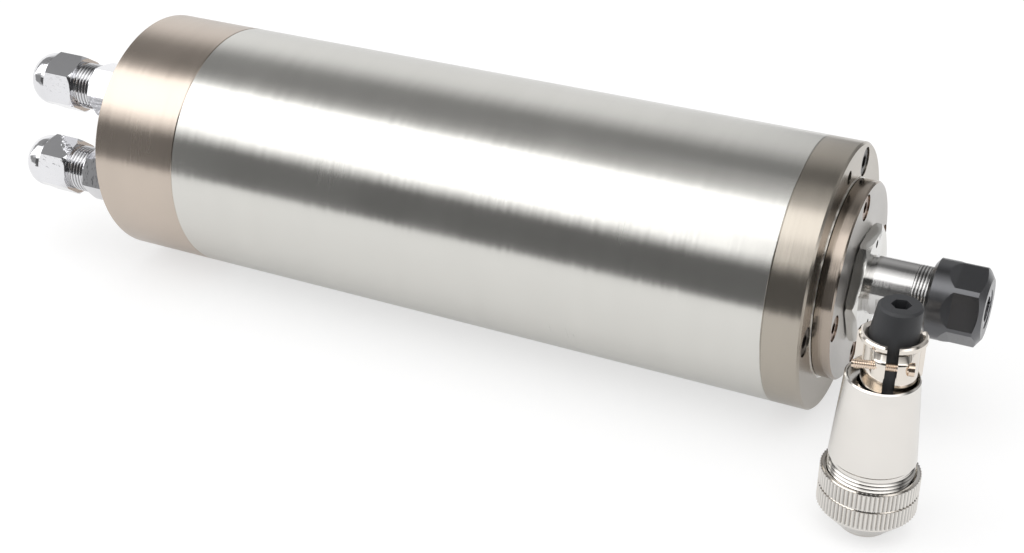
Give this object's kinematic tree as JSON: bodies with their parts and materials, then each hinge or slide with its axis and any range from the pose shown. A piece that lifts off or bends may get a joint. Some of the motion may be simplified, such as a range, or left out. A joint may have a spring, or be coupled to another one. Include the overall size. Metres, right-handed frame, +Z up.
{
  "type": "motor spindle",
  "caption": "Water-cooled router spindle: a ground steel barrel with a collet nose, hose fittings behind and a loose power plug beside the nose.",
  "frame": {"origin": "middle of the ground barrel, on the spindle axis", "axes": "+X along the spindle axis towards the collet nose, +Z up from the surface that the barrel lies on"},
  "size_m": [0.2579, 0.0903, 0.065],
  "materials": {
    "sleeve_steel": "ground stainless steel with fine lengthwise bands of reflected light",
    "cap_nickel": "satin nickel with a warm grey tint",
    "flange_nickel": "turned nickel with a darker warm tint",
    "cover_nickel": "polished nickel with a warm grey tint",
    "jacket_aluminium": "machined aluminium",
    "seal_rubber": "black nitrile rubber",
    "screw_steel": "plated steel",
    "core_steel": "stacked silicon steel sheets",
    "winding_copper": "enamelled copper wire",
    "cage_aluminium": "cast aluminium",
    "shaft_steel": "ground steel",
    "ring_steel": "polished steel",
    "spring_steel": "hardened spring steel",
    "nut_black": "satin black oxide",
    "fitting_chrome": "mirror chrome plate",
    "ferrule_brass": "bright brass",
    "washer_rubber": "black rubber",
    "plug_nickel": "bright nickel plate",
    "insert_plastic": "black moulded plastic",
    "bush_rubber": "dark grey rubber",
    "bearing_steel": "ground bearing steel"
  },
  "bodies": {
    "housing": {"bearing_cover": "cover_nickel", "bearing_cover_screws": "screw_steel", "cap_seals": "seal_rubber", "fitting_washers": "washer_rubber", "front_bearing_inboard_outer_ring": "bearing_steel", "front_bearing_outboard_outer_ring": "bearing_steel", "front_cap": "flange_nickel", "front_cap_screws": "screw_steel", "jacket_seals": "seal_rubber", "lower_fitting_body": "fitting_chrome", "outer_sleeve": "sleeve_steel", "power_socket_insert": "insert_plastic", "power_socket_pins": "ferrule_brass", "power_socket_shell": "plug_nickel", "preload_washer": "spring_steel", "rear_bearing_outer_ring": "bearing_steel", "rear_cap": "cap_nickel", "rear_cap_screws": "screw_steel", "stator_core": "core_steel", "stator_windings": "winding_copper", "upper_fitting_body": "fitting_chrome", "water_jacket": "jacket_aluminium"},
    "rotor": {"shaft": "shaft_steel", "rotor_core": "core_steel", "rotor_cage": "cage_aluminium", "nose_ring": "ring_steel", "rear_lock_nut": "ring_steel", "front_bearing_inboard_balls": "bearing_steel", "front_bearing_inboard_inner_ring": "bearing_steel", "front_bearing_outboard_balls": "bearing_steel", "front_bearing_outboard_inner_ring": "bearing_steel", "rear_bearing_balls": "bearing_steel", "rear_bearing_inner_ring": "bearing_steel"},
    "collet": {"collet": "spring_steel"},
    "collet_nut": {"collet_nut": "nut_black", "extractor_ring": "spring_steel"},
    "upper_ferrule": {"upper_fitting_ferrule": "ferrule_brass"},
    "upper_nut": {"upper_fitting_nut": "fitting_chrome"},
    "lower_ferrule": {"lower_fitting_ferrule": "ferrule_brass"},
    "lower_nut": {"lower_fitting_nut": "fitting_chrome"},
    "plug": {"plug_body": "plug_nickel", "plug_shell": "plug_nickel", "plug_cable_bush": "bush_rubber", "plug_cable_clamp": "plug_nickel", "plug_clamp_screw": "plug_nickel", "plug_insert": "insert_plastic", "plug_contacts": "ferrule_brass"},
    "plug_sleeve": {"plug_lock_sleeve": "plug_nickel"}
  },
  "joints": [
    {"name": "spindle_spin", "type": "hinge", "parent": "housing", "child": "rotor", "pos_m": [0, 0, 0], "axis": [1, 0, 0], "continuous": true},
    {"name": "collet_draw", "type": "slide", "parent": "rotor", "child": "collet", "axis": [1, 0, 0], "range_m": [0, 0.0015]},
    {"name": "collet_nut_turn", "type": "hinge", "parent": "collet", "child": "collet_nut", "pos_m": [0.125, 0, 0], "axis": [1, 0, 0], "range_deg": [0, 720]},
    {"name": "upper_ferrule_draw", "type": "slide", "parent": "housing", "child": "upper_ferrule", "axis": [-1, 0, 0], "range_m": [0, 0.002]},
    {"name": "upper_nut_turn", "type": "hinge", "parent": "upper_ferrule", "child": "upper_nut", "pos_m": [-0.118, -0.01569, 0.01682], "axis": [-1, 0, 0], "range_deg": [0, 720]},
    {"name": "lower_ferrule_draw", "type": "slide", "parent": "housing", "child": "lower_ferrule", "axis": [-1, 0, 0], "range_m": [0, 0.002]},
    {"name": "lower_nut_turn", "type": "hinge", "parent": "lower_ferrule", "child": "lower_nut", "pos_m": [-0.118, -0.02241, -0.00517], "axis": [-1, 0, 0], "range_deg": [0, 720]},
    {"name": "plug_lift", "type": "slide", "parent": "housing", "child": "plug", "axis": [0, 0, 1], "range_m": [0, 0.06]},
    {"name": "lock_sleeve_slide", "type": "slide", "parent": "plug", "child": "plug_sleeve", "axis": [0, 0, 1], "range_m": [0, 0.002], "stiffness_N_per_m": 400, "springref_m": -0.0005}
  ],
  "couplings": [
    {"joint": "collet_nut_turn", "follows": "collet_draw", "rad_per_m": 8377.6},
    {"joint": "upper_nut_turn", "follows": "upper_ferrule_draw", "rad_per_m": 6283.2},
    {"joint": "lower_nut_turn", "follows": "lower_ferrule_draw", "rad_per_m": 6283.2}
  ]
}
